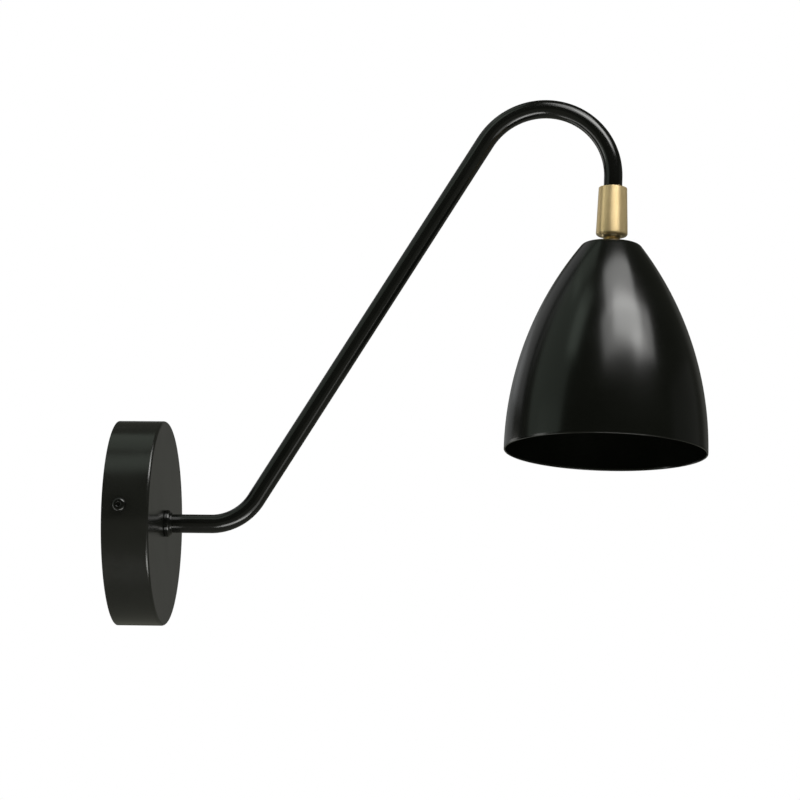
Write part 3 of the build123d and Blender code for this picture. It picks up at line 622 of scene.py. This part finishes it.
def stemOutline():
    # ball, neck with a small hollow, collar and threaded part outside, the lead's bore inside;
    # heights are from the ball's centre
    ball, neck, bore = stem["ballRadius"], stem["neckRadius"], stem["bore"]
    high, low = math.acos(bore / ball), -math.acos(neck / ball)
    t = np.linspace(high, low, 40)[:, None]
    ballSide = ball * np.hstack([np.cos(t), np.sin(t)])
    top, seat = -stem["shadeDrop"] + stem["collarHeight"], -stem["shadeDrop"]
    bottom = seat - stem["threadLength"]
    lower = roundedOutline([
        (bore, 0, 0), (neck, ballSide[-1][1], 0), (neck, top, stem["neckHollow"]),
        (stem["collarRadius"], top, stem["collarRound"]), (stem["collarRadius"], seat, stem["collarEdge"]),
        (stem["threadRadius"], seat, 0), (stem["threadRadius"], bottom, stem["threadEnd"]),
        (bore, bottom, stem["boreEdge"])], steps=8)
    return np.vstack([ballSide, lower[2:]])


ballStem = turnedPiece("ballStem", stemOutline(), ballCentre, "Z", stem["sides"])
dress(ballStem, headBody, turnedBrass, "stem_brass", "ball_stem")
print("sleeve and ball joint made")


# shade
shade = {"wall": 0.9 * mm, "topRadius": 15.2 * mm, "shoulder": 4.0 * mm, "hole": 4.15 * mm,
         "holeEdgeWidth": 0.3 * mm, "holeEdgeDepth": 0.15 * mm, "sides": 288, "curveSteps": 72,
         "shoulderSteps": 14, "rimSteps": 13}
mouthRadius = (shadeHigh.y - shadeLow.y) / 2
shadeHeight = shadeHigh.z - shadeLow.z


def shadeOutline():
    # one arc that stands upright at the mouth and closes in to the top, a round shoulder and a flat top;
    # the inside is the same arc one wall further in
    taper = mouthRadius - shade["topRadius"]
    bow = (shadeHeight**2 + taper**2) / (2 * taper)
    wall, shoulder = shade["wall"], shade["shoulder"]

    def side(radius, height, rounding):
        # the arc from the mouth up to where the shoulder's own arc takes over, then that arc
        level = height - rounding
        reach = radius - rounding
        lift = math.asin(level / reach)
        t = np.linspace(0, lift, shade["curveSteps"])[:, None]
        centre = mouthRadius - bow
        curve = np.hstack([centre + radius * np.cos(t), radius * np.sin(t)])
        middle = np.array([centre + reach * math.cos(lift), level])
        t = np.linspace(lift, math.pi / 2, shade["shoulderSteps"])[1:, None]
        turn = middle + rounding * np.hstack([np.cos(t), np.sin(t)])
        return np.vstack([curve, turn])

    outside = side(bow, shadeHeight, shoulder)
    inside = side(bow - wall, shadeHeight - wall, shoulder - wall)
    radius, wider = shade["hole"], shade["hole"] + shade["holeEdgeWidth"]
    top, under, edge = shadeHeight, shadeHeight - wall, shade["holeEdgeDepth"]
    hole = np.array([[wider, top], [radius, top - edge], [radius, under + edge], [wider, under]])
    t = np.linspace(0, -math.pi, shade["rimSteps"])[1:-1, None]
    rimMiddle = np.array([mouthRadius - wall / 2, wall / 2])
    rim = rimMiddle + wall / 2 * np.hstack([np.cos(t), np.sin(t)])
    keepOut, keepIn = outside[outside[:, 1] >= wall / 2], inside[inside[:, 1] >= wall / 2]
    return np.vstack([rim[::-1], keepOut, hole, keepIn[::-1]])


bellShade = turnedPiece("bellShade", shadeOutline(), (*headAxis, shadeLow.z), "Z", shade["sides"],
                        sharpDegrees=50)
dress(bellShade, headBody, shadeCoat, "shade_black", "shade")
print("shade made:", len(bellShade.data.polygons), "faces")


# lampholder
holder = {"radius": 14.0 * mm, "wall": 1.6 * mm, "joint": 0.1 * mm, "overlap": 4.0 * mm,
          "mouthRound": 1.0 * mm, "edge": 0.3 * mm, "wellDepth": 3.4 * mm, "wellLedge": 1.0 * mm,
          "ledgeEdge": 0.1 * mm, "recessRound": 0.4 * mm, "flutes": 36, "fluteDepth": 0.35 * mm,
          "fluteEnd": 0.6 * mm, "fluteLow": 3.0 * mm, "fluteHigh": 22.0 * mm, "fluteStep": 1.0 * mm,
          "sides": 288}
shell = {"radius": 7.0 * mm, "wall": 0.6 * mm, "edge": 0.15 * mm, "pitch": 2.82 * mm, "depth": 0.45 * mm,
         "fadeLow": 1.2 * mm, "fadeHigh": 0.8 * mm, "fadeLength": 2.0 * mm, "step": 0.28 * mm, "sides": 96}
cap = {"hole": 4.05 * mm, "holeEdge": 0.2 * mm, "bossRadius": 7.0 * mm, "bossHeight": 5.0 * mm,
       "bossEdge": 0.5 * mm, "bossHollow": 0.8 * mm, "coneHeight": 6.0 * mm, "skirtRound": 2.0 * mm,
       "skirtHollow": 1.5 * mm, "skirtEdge": 0.3 * mm, "innerEdge": 0.2 * mm, "sides": 128}
shellLength = shellHigh.z - shellLow.z


def fluteWave(angle, height, radius):
    # shallow flutes round the outside: depth times the cube of |cos(flutes * angle / 2)| between two
    # heights, fading at both
    flute = -holder["fluteDepth"] * np.abs(np.cos(holder["flutes"] * angle / 2)) ** 3
    rise = np.clip((height - holder["fluteLow"]) / holder["fluteEnd"], 0, 1)
    fall = np.clip((holder["fluteHigh"] - height) / holder["fluteEnd"], 0, 1)
    return flute * rise * fall * (radius > holder["radius"] - sameRadius)


def holderBodyOutline():
    # a closed cup with a narrower neck above and a recess for the shell; heights are from its mouth
    radius, neck = holder["radius"], holder["radius"] - holder["wall"] - holder["joint"]
    recess = shell["radius"] + shell["wall"] + holder["joint"]
    length, seat = bodyHigh.z - bodyLow.z, shellHigh.z - bodyLow.z
    skirt, well = length - holder["overlap"], seat + holder["wellDepth"]
    ledge = recess - holder["wellLedge"]
    outline = roundedOutline([
        (onAxis, well, 0), (ledge, well, 0), (ledge, seat, holder["ledgeEdge"]), (recess, seat, 0),
        (recess, 0, holder["recessRound"]), (radius, 0, holder["mouthRound"]),
        (radius, skirt, holder["edge"]), (neck, skirt, 0), (neck, length, holder["edge"]),
        (onAxis, length, 0)], steps=8)
    return densified(outline, 0, skirt, holder["fluteStep"])


def holderCapOutline():
    # a skirt, a cone that closes in, and a boss for the stem; heights are from the skirt's lower edge
    radius, inner = holder["radius"], holder["radius"] - holder["wall"]
    boss, hole = cap["bossRadius"], cap["hole"]
    top = capHigh.z - capLow.z
    coneTop = top - cap["bossHeight"]
    skirtTop, under = coneTop - cap["coneHeight"], coneTop - holder["wall"]
    return roundedOutline([
        (hole, top, cap["holeEdge"]), (boss, top, cap["bossEdge"]), (boss, coneTop, cap["bossHollow"]),
        (radius, skirtTop, cap["skirtRound"]), (radius, 0, cap["skirtEdge"]), (inner, 0, cap["innerEdge"]),
        (inner, skirtTop, cap["skirtHollow"]), (boss, under, cap["bossEdge"]),
        (hole, under, cap["holeEdge"])], steps=8)


def socketWave(angle, height, radius):
    # the rolled screw shell: half the depth times (sine of (full turn * height / pitch - angle) - 1),
    # inside and out, fading towards both ends
    phase = 2 * np.pi * height / shell["pitch"] - angle
    rise = np.clip((height - shell["fadeLow"]) / shell["fadeLength"], 0, 1)
    fall = np.clip((shellLength - shell["fadeHigh"] - height) / shell["fadeLength"], 0, 1)
    return shell["depth"] / 2 * (np.sin(phase) - 1) * rise * fall


def shellOutline():
    # a plain ring with small round edges, with points along it for the thread
    bore, outside, edge = shell["radius"], shell["radius"] + shell["wall"], shell["edge"]
    outline = roundedOutline([
        (outside, 0, edge), (outside, shellLength, edge), (bore, shellLength, edge), (bore, 0, edge)],
        steps=4)
    return densified(outline, 0, shellLength, shell["step"])


holderBody = turnedPiece("lampholderBody", holderBodyOutline(), (*headAxis, bodyLow.z), "Z",
                         holder["sides"], fluteWave, closed=False)
dress(holderBody, headBody, holderBlack, "holder_black", "lampholder_body")
holderCap = turnedPiece("lampholderCap", holderCapOutline(), (*headAxis, capLow.z), "Z", cap["sides"])
dress(holderCap, headBody, holderBlack, "holder_black", "lampholder_cap")
socketShell = turnedPiece("socketShell", shellOutline(), (*headAxis, shellLow.z), "Z", shell["sides"],
                          socketWave)
dress(socketShell, headBody, turnedBrass, "terminal_brass", "socket_shell")
print("lampholder made")


# wiring behind the canopy
wiring = {"coreRadius": 1.0 * mm, "coreOffset": 1.15 * mm, "pitch": 9.0 * mm, "outOfLead": 2.0 * mm,
          "bareRadius": 0.45 * mm, "bareLength": 7.0 * mm, "bareBend": 3.0 * mm}
earth = {"canopyTagDepth": 3.4 * mm, "canopyTagDrop": -13.5 * mm, "strapTagX": 3.1 * mm,
         "strapTagY": -16.0 * mm, "strapTagDrop": -8.8 * mm, "steps": 160}
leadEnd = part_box("arm_lead")[0].x
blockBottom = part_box("terminal_block")[0].z
insertX = (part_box("terminal_inserts")[0].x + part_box("terminal_inserts")[1].x) / 2


def blockWire(name, side, material, slot, cadNode):
    # from the lead's end up into the terminal block, with the bare end inside it
    way, offset, radius = side * wiring["pitch"] / 2, side * wiring["coreOffset"], wiring["coreRadius"]
    corners = [
        (leadEnd, offset, 0), (leadEnd - wiring["outOfLead"], offset, 0),
        (insertX, offset + side * radius, 0), (insertX, way, blockBottom / 2), (insertX, way, blockBottom)]
    core = roundWire(name, corners, radius, (0.3, 1, 0.2))
    depths = (0, wiring["bareBend"], wiring["bareLength"])
    inside = [(insertX, way, blockBottom + depth) for depth in depths]
    end = roundWire(name + "End", inside, wiring["bareRadius"], (0, 1, 0), 12, 8)
    dress(end, wallBody, turnedBrass, "terminal_brass")
    return dress(core, wallBody, material, slot, cadNode)


blockWire("liveWire", 1, brownCore, "brown_core", "live_wire")
blockWire("neutralWire", -1, blueCore, "blue_core", "neutral_wire")

# the earth wire hangs in a loop, through listed points, from the tag on the arm's thread to the
# tag on the strap
tagX, tagZ = canopyFace - earth["canopyTagDepth"], earth["canopyTagDrop"]
strapX, strapY, strapZ = earth["strapTagX"], earth["strapTagY"], earth["strapTagDrop"]
earthCorners = [
    (tagX, 0, tagZ), (tagX - 1 * mm, -1 * mm, tagZ - 8 * mm), (12 * mm, -7 * mm, tagZ - 14 * mm),
    (strapX + 1 * mm, -14 * mm, tagZ - 8 * mm), (strapX, strapY, strapZ - 5 * mm),
    (strapX, strapY, strapZ)]
earthWire = roundWire("earthWire", earthCorners, wiring["coreRadius"], (0.5, 1, 0.1), steps=earth["steps"])
dress(earthWire, wallBody, earthCore, "green_yellow_core", "earth_wire")
print("wiring made")


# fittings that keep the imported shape, with real edges
fittings = [
    # node, body, finish, slot, edge width in mm
    ("wall_bracket", wallBody, zincSteel, "zinc_steel", 0.15),
    ("earth_screw", wallBody, turnedBrass, "brass_screw", 0.0),
    ("earth_tags", wallBody, tinnedCopper, "tinned_copper", 0.0),
    ("terminal_block", wallBody, naturalNylon, "nylon", 0.12),
    ("terminal_inserts", wallBody, turnedBrass, "terminal_brass", 0.0),
    ("terminal_screws", wallBody, zincSteel, "zinc_steel", 0.0),
    ("terminal_fixing_screw", wallBody, zincSteel, "zinc_steel", 0.0),
    ("arm_tooth_washer", wallBody, zincSteel, "zinc_steel", 0.0),
    ("arm_lock_nut", wallBody, zincSteel, "zinc_steel", 0.15),
    ("cable_bush", wallBody, whiteMoulding, "bush_white", 0.0),
    ("arm_lead", wallBody, leadJacket, "lead_jacket", 0.0),
    ("sleeve_plug", wallBody, satinBrass, "satin_brass", 0.0),
    ("ball_seat", swivelBody, whiteMoulding, "bearing_plastic", 0.0),
    ("spring_washers", swivelBody, springSteel, "spring_steel", 0.0),
    ("shade_washer", headBody, zincSteel, "zinc_steel", 0.1),
    ("shade_nut", headBody, zincSteel, "zinc_steel", 0.15),
    ("lampholder_grub_screw", headBody, zincSteel, "zinc_steel", 0.0),
    ("centre_contact", headBody, turnedBrass, "terminal_brass", 0.05),
    ("lampholder_terminals", headBody, turnedBrass, "terminal_brass", 0.1),
    ("lampholder_terminal_screws", headBody, zincSteel, "zinc_steel", 0.0),
    ("head_lead", headBody, leadJacket, "lead_jacket", 0.0),
    ("holder_live_wire", headBody, brownCore, "brown_core", 0.0),
    ("holder_neutral_wire", headBody, blueCore, "blue_core", 0.0),
]
for cadNode, body, finish, slotName, edge in fittings:
    words = cadNode.split("_")
    pieceName = words[0] + "".join(word.capitalize() for word in words[1:])
    dress(refinedCopy(cadNode, pieceName, edge * mm), body, finish, slotName, cadNode)
print("fittings dressed:", len(fittings))


# floor, light and camera
view = {"yawDegrees": 7.7453, "pitchDegrees": 11.2109, "rollDegrees": 1.9,
        "place": (0.58731, -3.2124, -0.57397), "focalPixels": 6150.88, "imagePixels": 800, "sensor": 36.0}
softWhite, warmWhite, creamWhite = (1.0, 1.0, 0.98), (1.0, 1.0, 0.97), (1.0, 1.0, 0.95)
leafWhite, coolWhite, skyWhite = (0.85, 1.0, 0.86), (0.97, 0.98, 1.0), (0.95, 0.98, 1.0)
studio = {
    "floorHeight": -3.6, "floorSize": 80.0, "floorClouds": 0.6, "floorRoughness": 0.9,
    "floorGreys": ((0.54, 0.54, 0.53), (0.58, 0.58, 0.57)),
    "floorPales": ((0.90, 0.90, 0.89), (0.93, 0.93, 0.92)), "floorPaleShare": 0.85,
    "plainLight": 0.32, "glossLight": 0.06, "roomTint": (1.0, 1.01, 0.86), "aim": (0.262, 0.0, 0.11),
}
lamps = {
    # degrees right of straight in front, degrees above level, roll, distance, width, height, radiance, tint
    "overheadLow": (37, 49, -4, 1.5, 1.62, 0.54, 3.3, softWhite),
    "overheadHigh": (33, 67, -6, 1.5, 0.96, 0.60, 4.2, softWhite),
    "overheadCore": (38, 51, -20, 1.45, 0.80, 0.50, 4.9, softWhite),
    "overheadCorner": (52, 39, 0, 1.5, 0.46, 0.28, 2.3, softWhite),
    "nearPanel": (-45, 46, 0, 0.76, 0.18, 0.36, 0.66, leafWhite),
    "abovePanel": (-96, 62, 0, 0.98, 0.50, 0.35, 0.42, leafWhite),
    "leftPanel": (-70, 24, 0, 1.5, 1.25, 1.85, 0.37, leafWhite),
    "leftStrip": (-73, -30, 0, 1.5, 0.42, 2.00, 2.1, warmWhite),
    "backStrip": (-120, -20, 0, 1.5, 0.50, 1.60, 1.0, warmWhite),
    "rightSide": (110, 4, 0, 1.8, 1.60, 1.40, 0.07, softWhite),
    "lowCore": (27, -58, 0, 1.5, 1.26, 0.42, 6.4, warmWhite),
    "lowPanel": (47, -43, 40, 1.55, 1.20, 0.70, 1.3, warmWhite),
    "lowLeft": (-66, -46, 0, 1.5, 0.70, 0.90, 0.20, creamWhite),
    "backLeft": (-125, 33, 0, 1.8, 1.20, 1.20, 0.28, coolWhite),
    "frontLeft": (-62, 8, 0, 1.5, 0.80, 0.50, 0.10, leafWhite),
    "sideLeft": (-144, 8, 0, 1.5, 0.90, 0.80, 0.24, skyWhite),
    "backPanel": (172, 12, 0, 2.0, 1.60, 1.40, 0.07, creamWhite),
}


def placeCamera():
    # the camera looks along the forward direction given by yaw and pitch, then rolls about it
    yaw, pitch, roll = (math.radians(view[k]) for k in ("yawDegrees", "pitchDegrees", "rollDegrees"))
    forward = Vector((-math.sin(yaw) * math.cos(pitch), math.cos(yaw) * math.cos(pitch), math.sin(pitch)))
    level = Vector((math.cos(yaw), math.sin(yaw), 0))
    upright = level.cross(forward)
    right = math.cos(roll) * level + math.sin(roll) * upright
    up = -math.sin(roll) * level + math.cos(roll) * upright
    data = bpy.data.cameras.new("camera")
    data.sensor_width = view["sensor"]
    data.lens = view["focalPixels"] / view["imagePixels"] * view["sensor"]
    camera = bpy.data.objects.new("camera", data)
    turn = Matrix((right, up, -forward)).transposed().to_4x4()
    camera.matrix_world = Matrix.Translation(view["place"]) @ turn
    bpy.context.scene.collection.objects.link(camera)
    bpy.context.scene.camera = camera


def placeLamp(name, around, above, roll, distance, width, height, radiance, tint):
    # a soft box that faces the head; its power is radiance times pi times its area
    azimuth, elevation = math.radians(around), math.radians(above)
    outwards = Vector((math.sin(azimuth) * math.cos(elevation), -math.cos(azimuth) * math.cos(elevation),
                       math.sin(elevation)))
    data = bpy.data.lights.new(name, "AREA")
    data.shape, data.size, data.size_y = "RECTANGLE", width, height
    data.energy, data.color = radiance * math.pi * width * height, tint
    lamp = bpy.data.objects.new(name, data)
    lamp.visible_camera = False
    place = Vector(studio["aim"]) + outwards * distance
    facing = outwards.to_track_quat("Z", "Y").to_matrix().to_4x4()
    lamp.matrix_world = Matrix.Translation(place) @ facing @ Matrix.Rotation(math.radians(roll), 4, "Z")
    bpy.context.scene.collection.objects.link(lamp)


def paleWorld():
    # white to the camera, a plain grey light to the object, and a dim room to its gloss
    world = bpy.data.worlds.new("studioWorld")
    bpy.context.scene.world = world
    world.use_nodes = True
    tree = world.node_tree
    background = tree.nodes["Background"]
    path = node(tree, "ShaderNodeLightPath")
    gloss = node(tree, "ShaderNodeMix", data_type="FLOAT")
    gloss.inputs["A"].default_value = studio["plainLight"]
    gloss.inputs["B"].default_value = studio["glossLight"]
    seen = node(tree, "ShaderNodeMix", data_type="FLOAT")
    seen.inputs["B"].default_value = 1.0
    tree.links.new(path.outputs["Is Glossy Ray"], gloss.inputs["Factor"])
    tree.links.new(gloss.outputs["Result"], seen.inputs["A"])
    tree.links.new(path.outputs["Is Camera Ray"], seen.inputs["Factor"])
    tree.links.new(seen.outputs["Result"], background.inputs["Strength"])
    tint = colourBetween(tree, path.outputs["Is Camera Ray"], studio["roomTint"], (1, 1, 1))
    tree.links.new(tint, background.inputs["Color"])


def paleFloor():
    # one wide pale sheet well below the light; the camera sees most of it at its own pale colour, and the
    # object gets a plain grey from it
    half = studio["floorSize"] / 2
    points = np.array([[[x, y, studio["floorHeight"]] for x in (-half, half)] for y in (-half, half)])
    floor = gridPiece("floor", points, wrapRows=False, wrapColumns=False)
    material, tree, principled = newMaterial("floorPaint")
    cloud = noiseField(tree, studio["floorClouds"], detail=4)
    tree.links.new(cloudyColour(tree, cloud, *studio["floorGreys"]), principled.inputs["Base Color"])
    principled.inputs["Roughness"].default_value = studio["floorRoughness"]
    pale = node(tree, "ShaderNodeEmission", Strength=1.0)
    tree.links.new(cloudyColour(tree, cloud, *studio["floorPales"]), pale.inputs["Color"])
    path = node(tree, "ShaderNodeLightPath")
    share = node(tree, "ShaderNodeMath", operation="MULTIPLY")
    share.inputs[1].default_value = studio["floorPaleShare"]
    tree.links.new(path.outputs["Is Camera Ray"], share.inputs[0])
    blend = node(tree, "ShaderNodeMixShader")
    tree.links.new(share.outputs[0], blend.inputs[0])
    tree.links.new(principled.outputs["BSDF"], blend.inputs[1])
    tree.links.new(pale.outputs["Emission"], blend.inputs[2])
    tree.links.new(blend.outputs["Shader"], tree.nodes["Material Output"].inputs["Surface"])
    floor.data.materials.append(material)


placeCamera()
for lampName, lampSettings in lamps.items():
    placeLamp(lampName, *lampSettings)
paleWorld()
paleFloor()
bpy.context.scene.view_settings.view_transform = "Standard"
print("studio ready")
